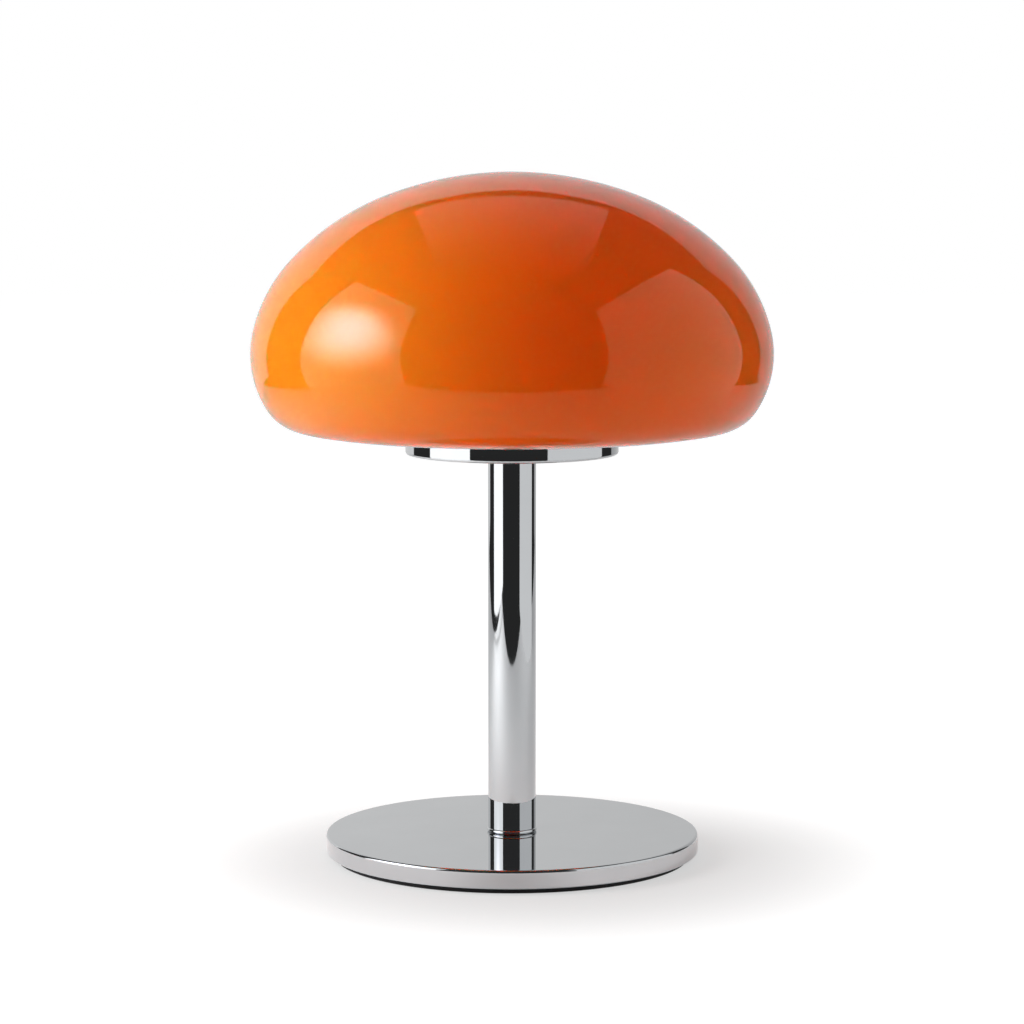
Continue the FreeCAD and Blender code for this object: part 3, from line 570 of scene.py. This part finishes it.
def make_gallery():
    """Shallow cup under the glass."""
    low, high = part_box("gallery")
    radius, floor = high.x, low.z + GALLERY_WALL
    profile = corner(radius - GALLERY_ROUND, low.z + GALLERY_ROUND, GALLERY_ROUND, -90, 0)
    profile += [
        (radius, high.z),
        (radius - GALLERY_WALL, high.z),
        (radius - GALLERY_WALL, floor),
        (GALLERY_HOLE, floor),
        (GALLERY_HOLE, low.z),
    ]
    dress(lathe("gallery_cup", profile), "lamp", "chrome", "gallery")


def make_stem_foot():
    """Bead under the stem, in one piece with the plug that goes up into it."""
    low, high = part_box("stem_foot")
    profile = corner(high.x - BEAD_ROUND, low.z + BEAD_ROUND, BEAD_ROUND, -90, 90, steps=BEAD_STEPS)
    profile += [
        (PLUG_RADIUS, low.z + 2 * BEAD_ROUND),
        (PLUG_RADIUS, high.z - PLUG_EDGE),
        (PLUG_RADIUS - PLUG_EDGE, high.z),
        (FOOT_HOLE, high.z),
        (FOOT_HOLE, low.z),
    ]
    collar = lathe("beaded_collar", profile)
    drill_down(collar, FOOT_WIRE_HOLE, high.z, low.z, PLUG_EDGE)
    dress(collar, "lamp", "chrome", "stem_foot")


make_base_cover()
make_gallery()
make_stem_foot()


# Studio ----------------------------------------------------------------------------------------

# Left softbox: it lights the lamp most from its core, and mirrors show a soft shine in it, clear in
# near mirrors and lost in farther ones, by the length of the ray.
LEFT_BOX = (
    (-0.775, 0.072, 0.02),
    (-0.791, 0.134, 1.03),
    (-0.645, -0.57, 1.03),
    (-0.648, -0.669, 0.02),
)
LEFT_GLOW = 2.5
LEFT_CORE = (-0.72, -0.19, 0.54)
LEFT_CORE_REACH = 0.42
LEFT_CORE_GLOW = 8.2
LEFT_MIRRORED = 1.75
LEFT_SHINE = (-0.71, -0.24, 0.58)
LEFT_SHINE_REACH = 0.45
LEFT_SHINE_GLOW = 14.5
LEFT_SHINE_TINT = (0.92, 0.9, 1.6)
LEFT_SHINE_CLEAR = 0.77
LEFT_SHINE_LOST = 0.88

RIGHT_BOX = (
    (0.56, -0.75, 0.0),
    (0.588, -0.634, 1.04),
    (0.705, 0.323, 1.04),
    (0.70, 0.239, 0.0),
)
RIGHT_GLOW = 0.92

OVERHEAD_SIDE = 0.42
OVERHEAD_HEIGHT = 1.33
OVERHEAD_FRONT = -0.5
OVERHEAD_FULL = 0.6
OVERHEAD_REAR = 1.03
OVERHEAD_GLOW = 0.45

BACKDROP_LEFT = -1.17
BACKDROP_RIGHT = 1.05
BACKDROP_REAR = 1.0
BACKDROP_TOP = 1.13
BACKDROP_LEFT_GLOW = 0.95
BACKDROP_RIGHT_GLOW = 0.46

# Table: how far it reaches for light and mirrors. Mirrors see painted light on it, strongest round a
# place at its left below the left softbox, with a painted shade just in front of the base.
TABLE_LEFT = -0.80
TABLE_RIGHT = 0.88
TABLE_FRONT = -0.65
TABLE_COLOUR = 0.8
TABLE_PAINTED_LIGHT_PLACE = (-0.65, -0.15, 0.0)
TABLE_PAINTED_LIGHT_NEAR = 0.1
TABLE_PAINTED_LIGHT_FAR = 0.65
TABLE_PAINTED_LIGHT_HEART = 0.48
TABLE_PAINTED_LIGHT_EDGE = 0.3
TABLE_PAINTED_SHADE_PLACE = (0.0, -0.13, 0.0)
TABLE_PAINTED_SHADE_REACH = 0.07
TABLE_PAINTED_SHADE = 0.27
FRONT_GLOW = 0.03

# Ground: what the camera sees of the floor, white but for the shade round the base: a painted shade
# that grows lighter away from the base, over the lamp's real shadow.
GROUND_COLOUR = 0.26
GROUND_PAINTED_SHADE_PLACE = (0.01, -0.015, 0.0)
GROUND_NEAR = 0.08
GROUND_FAR = 0.245
GROUND_PAINTED_SHADE_GLOW = 0.57
FLOOR_REACH = 6.0

WHITE = (1.0, 1.0, 1.0)
STUDIO_DARK = 0.02
STUDIO_MIRRORED = 0.045


def flat(name, corners):
    """A flat stage piece through four corners."""
    data = bpy.data.meshes.new(name)
    data.from_pydata(corners, [], [(0, 1, 2, 3)])
    piece = new_piece(name, data)
    return piece


def make_card(name, corners):
    """A card that glows and reflects but doesn't block the camera. Returns its graph and shader."""
    piece = flat(name, corners)
    piece.visible_camera = False
    piece.visible_shadow = False
    material, graph, output = new_material(name)
    glow = graph.add("ShaderNodeEmission", {"Color": rgb(*WHITE)})
    graph.feed(output.inputs["Surface"], glow.outputs["Emission"])
    piece.data.materials.append(material)
    return graph, glow


def make_left_softbox():
    graph, glow = make_card("left_softbox", LEFT_BOX)
    place = graph.position()
    path = graph.add("ShaderNodeLightPath").outputs

    def fade(heart, reach):
        return graph.spread(graph.distance(place, heart), 0.0, reach, 1.0, 0.0, smooth=True)

    clear = graph.spread(path["Ray Length"], LEFT_SHINE_CLEAR, LEFT_SHINE_LOST, 1.0, 0.0)
    shine = graph.sum("MULTIPLY", fade(LEFT_SHINE, LEFT_SHINE_REACH), clear)
    lit = graph.sum("MULTIPLY_ADD", fade(LEFT_CORE, LEFT_CORE_REACH), LEFT_CORE_GLOW, LEFT_GLOW)
    mirrored = graph.sum("MULTIPLY_ADD", shine, LEFT_SHINE_GLOW, LEFT_MIRRORED)
    graph.feed(glow.inputs["Strength"], graph.choose(path["Is Glossy Ray"], lit, mirrored))
    tinted = graph.sum("MULTIPLY", shine, path["Is Glossy Ray"])
    graph.feed(glow.inputs["Color"], graph.between(tinted, (WHITE, LEFT_SHINE_TINT)))


def make_right_softbox():
    graph, glow = make_card("right_softbox", RIGHT_BOX)
    graph.feed(glow.inputs["Strength"], RIGHT_GLOW)


def make_overhead():
    """Panel over the lamp that fades towards the front."""
    side, height, front, rear = OVERHEAD_SIDE, OVERHEAD_HEIGHT, OVERHEAD_FRONT, OVERHEAD_REAR
    corners = [
        (-side, front, height),
        (-side, rear, height),
        (side, rear, height),
        (side, front, height),
    ]
    graph, glow = make_card("overhead_panel", corners)
    depth = graph.split(graph.position())["Y"]
    level = graph.spread(depth, front, OVERHEAD_FULL, 0.0, OVERHEAD_GLOW, smooth=True)
    graph.feed(glow.inputs["Strength"], level)


def make_backdrop():
    """White backdrop behind the lamp, lighter towards the left."""
    left, right, rear, top = BACKDROP_LEFT, BACKDROP_RIGHT, BACKDROP_REAR, BACKDROP_TOP
    corners = [(left, rear, 0), (left, rear, top), (right, rear, top), (right, rear, 0)]
    graph, glow = make_card("backdrop", corners)
    across = graph.split(graph.position())["X"]
    level = graph.spread(across, left, right, BACKDROP_LEFT_GLOW, BACKDROP_RIGHT_GLOW)
    graph.feed(glow.inputs["Strength"], level)


def table_gloss(graph, place, on_table):
    """Glow of the floor in mirrors: the table's painted light less its painted shade, and almost
    none beyond it.
    """
    # Painted light round a place at the table's left, less a painted shade just in front of the
    # base.
    away = graph.distance(place, TABLE_PAINTED_LIGHT_PLACE)
    levels = (TABLE_PAINTED_LIGHT_HEART, TABLE_PAINTED_LIGHT_EDGE)
    painted_light = graph.spread(away, TABLE_PAINTED_LIGHT_NEAR, TABLE_PAINTED_LIGHT_FAR, *levels, smooth=True)
    away = graph.distance(place, TABLE_PAINTED_SHADE_PLACE)
    painted_shade = graph.spread(away, 0.0, TABLE_PAINTED_SHADE_REACH, TABLE_PAINTED_SHADE, 0.0, smooth=True)
    return graph.choose(on_table, FRONT_GLOW, graph.sum("SUBTRACT", painted_light, painted_shade))


def make_floor():
    """White table. The camera sees it run on as a white ground that keeps the lamp's shadow, with a
    painted shade round the base.
    """
    reach = FLOOR_REACH
    corners = [(-reach, -reach, 0), (reach, -reach, 0), (reach, reach, 0), (-reach, reach, 0)]
    floor = flat("floor", corners)
    material, graph, output = new_material("floor")
    path = graph.add("ShaderNodeLightPath").outputs
    seen = path["Is Camera Ray"]
    place = graph.position()
    split = graph.split(place)
    right_of = graph.sum("GREATER_THAN", split["X"], TABLE_LEFT)
    left_of = graph.sum("LESS_THAN", split["X"], TABLE_RIGHT)
    behind = graph.sum("GREATER_THAN", split["Y"], TABLE_FRONT)
    on_table = graph.sum("MULTIPLY", graph.sum("MULTIPLY", right_of, left_of), behind)

    albedo = graph.choose(seen, graph.sum("MULTIPLY", on_table, TABLE_COLOUR), GROUND_COLOUR)
    grey = graph.add("ShaderNodeCombineColor", {"Red": albedo, "Green": albedo, "Blue": albedo})
    matt = graph.add("ShaderNodeBsdfDiffuse", {"Color": grey.outputs["Color"]})

    # Painted shade: the ground glows less close to the base, and fully white farther out.
    away = graph.distance(place, GROUND_PAINTED_SHADE_PLACE)
    ground_with_painted_shade = graph.spread(away, GROUND_NEAR, GROUND_FAR, GROUND_PAINTED_SHADE_GLOW, 1.0, smooth=True)
    gloss = graph.sum("MULTIPLY", table_gloss(graph, place, on_table), path["Is Glossy Ray"])
    glow = graph.add("ShaderNodeEmission", {"Strength": graph.choose(seen, gloss, ground_with_painted_shade)})

    both = graph.add("ShaderNodeAddShader", {0: matt.outputs["BSDF"], 1: glow.outputs["Emission"]})
    graph.feed(output.inputs["Surface"], both.outputs["Shader"])
    floor.data.materials.append(material)


def make_world():
    """White to the camera and through glass, dim in reflections, dark to everything else."""
    world = bpy.data.worlds.new("studio")
    bpy.context.scene.world = world
    world.use_nodes = True
    graph = Graph(world.node_tree)
    output = graph.add("ShaderNodeOutputWorld")
    path = graph.add("ShaderNodeLightPath").outputs
    seen = graph.sum("MAXIMUM", path["Is Camera Ray"], path["Is Transmission Ray"])
    unseen = graph.choose(path["Is Glossy Ray"], STUDIO_DARK, STUDIO_MIRRORED)
    inputs = {"Color": rgb(*WHITE), "Strength": graph.choose(seen, unseen, 1.0)}
    sky = graph.add("ShaderNodeBackground", inputs)
    graph.feed(output.inputs["Surface"], sky.outputs["Background"])


# Lens and sensor in millimetres, pitch in degrees below the horizon
CAMERA_PLACE = (0.0, -1.7429, 0.3789)
CAMERA_PITCH = 6.484
CAMERA_LENS = 118.65
SENSOR_WIDTH = 36.0


def make_camera():
    camera_data = bpy.data.cameras.new("camera")
    camera_data.lens = CAMERA_LENS
    camera_data.sensor_width = SENSOR_WIDTH
    camera = new_piece("camera", camera_data)
    camera.location = CAMERA_PLACE
    camera.rotation_euler = (math.radians(90 - CAMERA_PITCH), 0, 0)
    bpy.context.scene.camera = camera


make_left_softbox()
make_right_softbox()
make_overhead()
make_backdrop()
make_floor()
make_world()
make_camera()
bpy.context.scene.view_settings.view_transform = "Standard"
